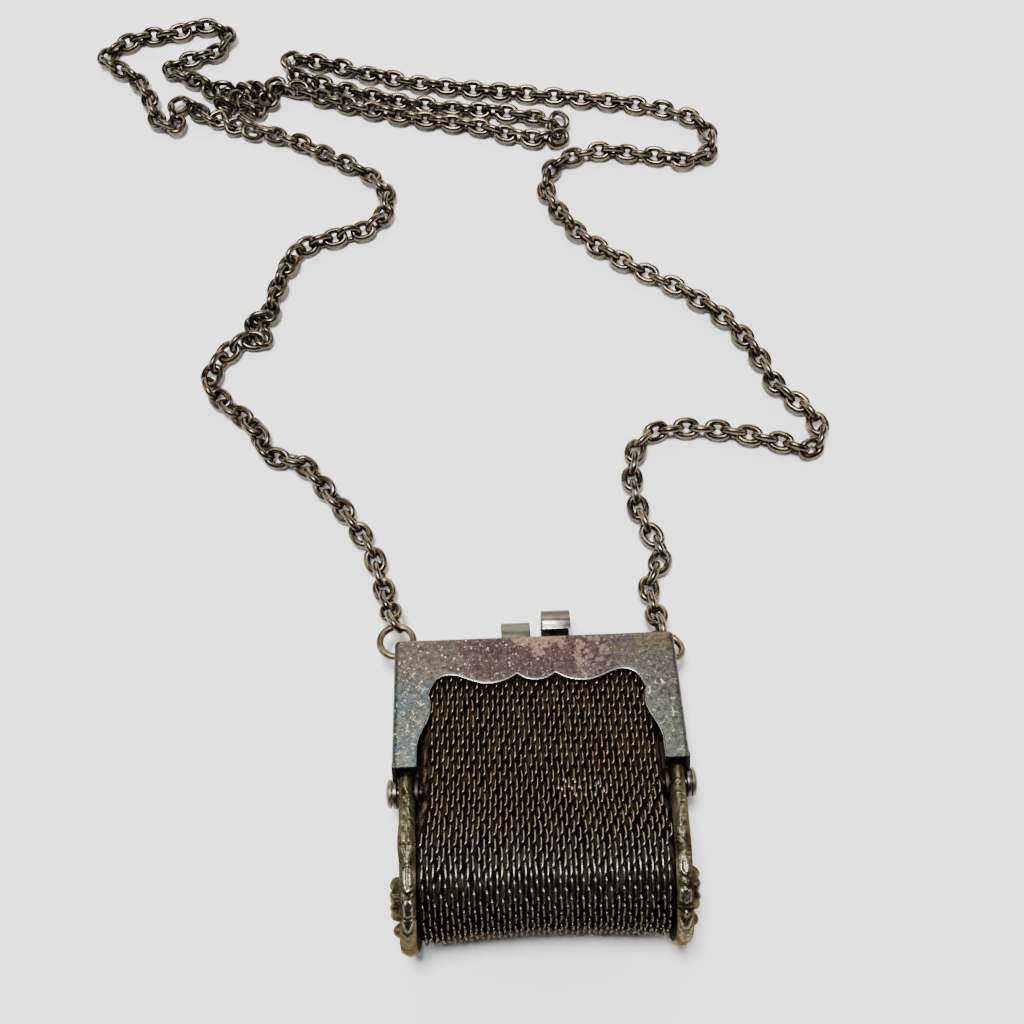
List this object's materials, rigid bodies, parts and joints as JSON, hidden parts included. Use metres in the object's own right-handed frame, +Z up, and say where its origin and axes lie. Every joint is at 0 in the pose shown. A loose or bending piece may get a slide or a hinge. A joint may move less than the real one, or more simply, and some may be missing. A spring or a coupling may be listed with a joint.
{
  "type": "mesh purse necklace",
  "caption": "Small metal mesh coin purse with a scalloped hinged frame, cast side plates and a rolled tab clasp, hung on a long oval-link neck chain that lies in a loose loop.",
  "frame": {"origin": "centre of the lowest rectangle of the bounding box, on the table", "axes": "+X to the right of the purse seen from its front, +Y from the purse towards the far end of the chain, +Z up from the table"},
  "size_m": [0.1586, 0.217, 0.0208],
  "materials": {
    "frame_metal": "worn nickel silver sheet, grey with purple-brown tarnish and pale specks",
    "cast_metal": "cast nickel silver, dark olive in the hollows and bright on the high points",
    "mesh_metal": "fine linked rings, dark brown with bright wire edges",
    "ring_metal": "round wire, dull brass brown",
    "chain_metal": "round wire links, dark gunmetal with silvery highlights"
  },
  "bodies": {
    "root": {"front_frame": "frame_metal", "back_frame": "frame_metal", "side_plate_left": "cast_metal", "side_plate_right": "cast_metal", "rivet_left": "cast_metal", "rivet_right": "cast_metal", "mesh_body": "mesh_metal", "ring_left": "ring_metal", "ring_right": "ring_metal", "chain_left": "chain_metal", "chain_right": "chain_metal"}
  },
  "joints": []
}
